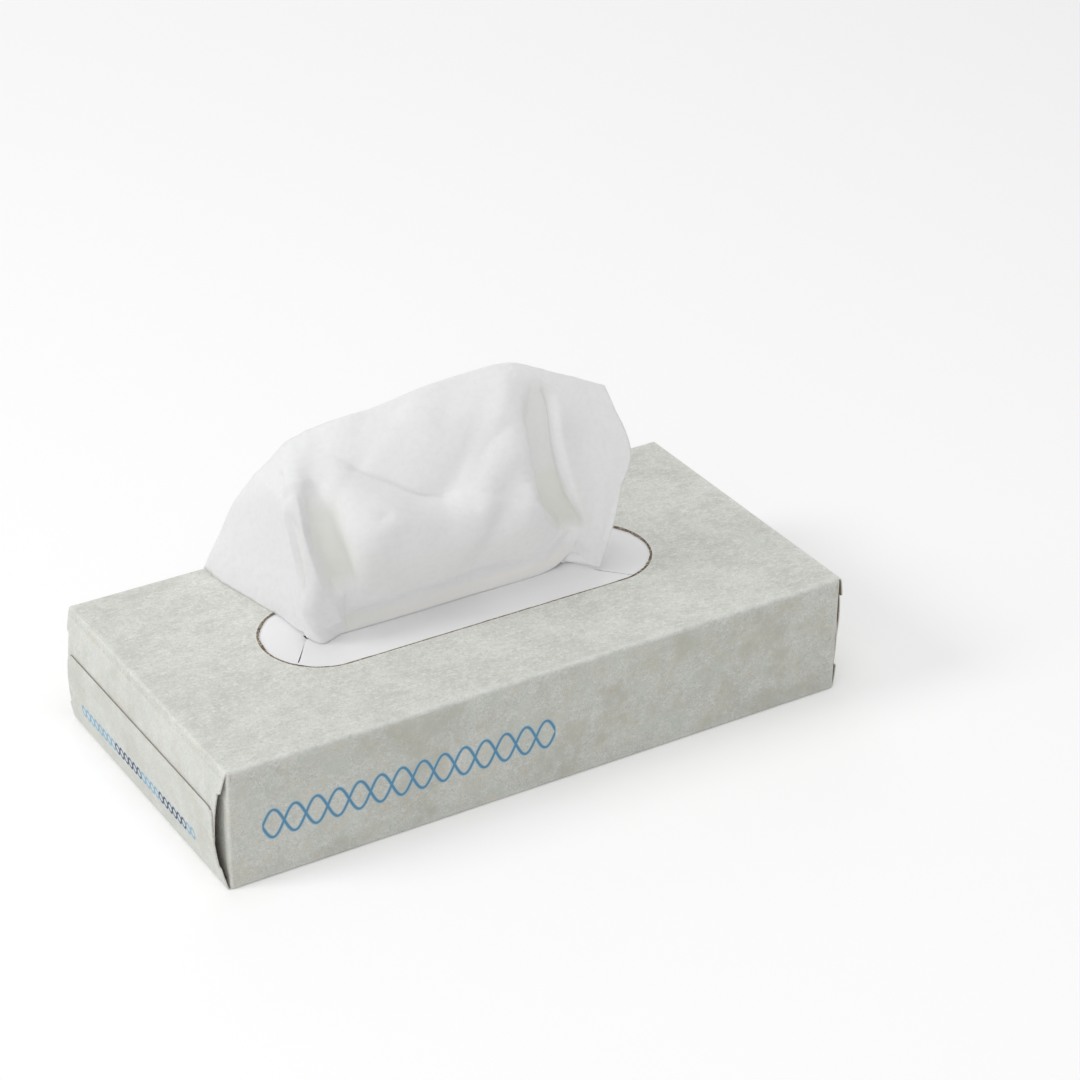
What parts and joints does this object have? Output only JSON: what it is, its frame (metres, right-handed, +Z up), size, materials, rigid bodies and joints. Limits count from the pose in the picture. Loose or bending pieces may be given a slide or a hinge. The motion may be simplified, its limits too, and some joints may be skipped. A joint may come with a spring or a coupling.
{
  "type": "tissue box",
  "caption": "Flat folded-board tissue box with a round-ended opening, slit film, stack of interfolded sheets and one sheet pulled up through the slit.",
  "frame": {"origin": "middle of the bottom face, on the surface the box stands on", "axes": "+X along the long side to the right, +Y from the printed front to the back, +Z up"},
  "size_m": [0.236, 0.114, 0.1186],
  "materials": {
    "printed_board": "matt recycled board printed in a mottled pale warm grey",
    "white_film": "thin matt white film",
    "stack_tissue": "soft white two-ply tissue, folded edges",
    "sheet_tissue": "soft white two-ply tissue with fine crepe"
  },
  "bodies": {
    "root": {"carton": "printed_board", "slit_film": "white_film", "tissue_stack": "stack_tissue", "pulled_tissue": "sheet_tissue"}
  },
  "joints": []
}
